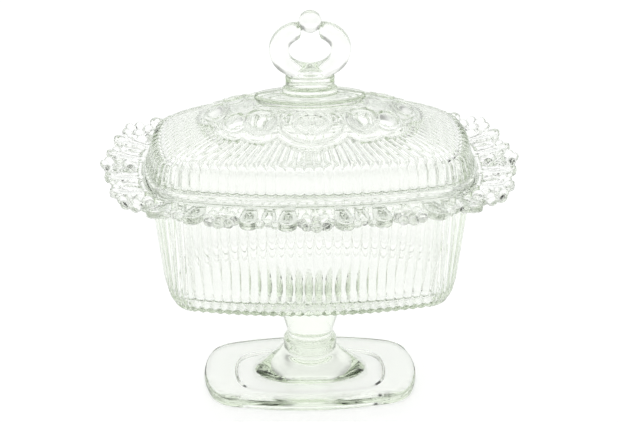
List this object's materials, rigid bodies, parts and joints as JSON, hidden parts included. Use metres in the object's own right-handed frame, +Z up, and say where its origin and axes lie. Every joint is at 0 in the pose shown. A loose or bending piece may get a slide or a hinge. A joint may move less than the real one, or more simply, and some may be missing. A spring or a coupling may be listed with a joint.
{
  "type": "covered butter dish",
  "caption": "Footed covered dish in clear pressed glass with ribbed bowl, open lace rim and a lift-off lid with a ring finial.",
  "frame": {"origin": "centre of the foot, on the surface it stands on", "axes": "+X along the long side, +Z up, -Y the front"},
  "size_m": [0.2042, 0.1506, 0.1968],
  "materials": {
    "clear_glass": "polished"
  },
  "bodies": {
    "dish": {"foot_plate": "clear_glass", "foot_mound": "clear_glass", "stem": "clear_glass", "bowl": "clear_glass", "lid_seat_ring": "clear_glass", "lace_front": "clear_glass", "lace_corner_front_right": "clear_glass", "lace_right": "clear_glass", "lace_corner_back_right": "clear_glass", "lace_back": "clear_glass", "lace_corner_back_left": "clear_glass", "lace_left": "clear_glass", "lace_corner_front_left": "clear_glass"},
    "lid": {"lid_shell": "clear_glass", "lid_locating_lip": "clear_glass", "lid_relief_band": "clear_glass", "finial_plate": "clear_glass", "finial_neck": "clear_glass", "finial_ring": "clear_glass", "finial_ball": "clear_glass"}
  },
  "joints": [
    {"name": "lid_lift", "type": "slide", "parent": "dish", "child": "lid", "axis": [0, 0, 1], "range_m": [0, 0.12]}
  ]
}
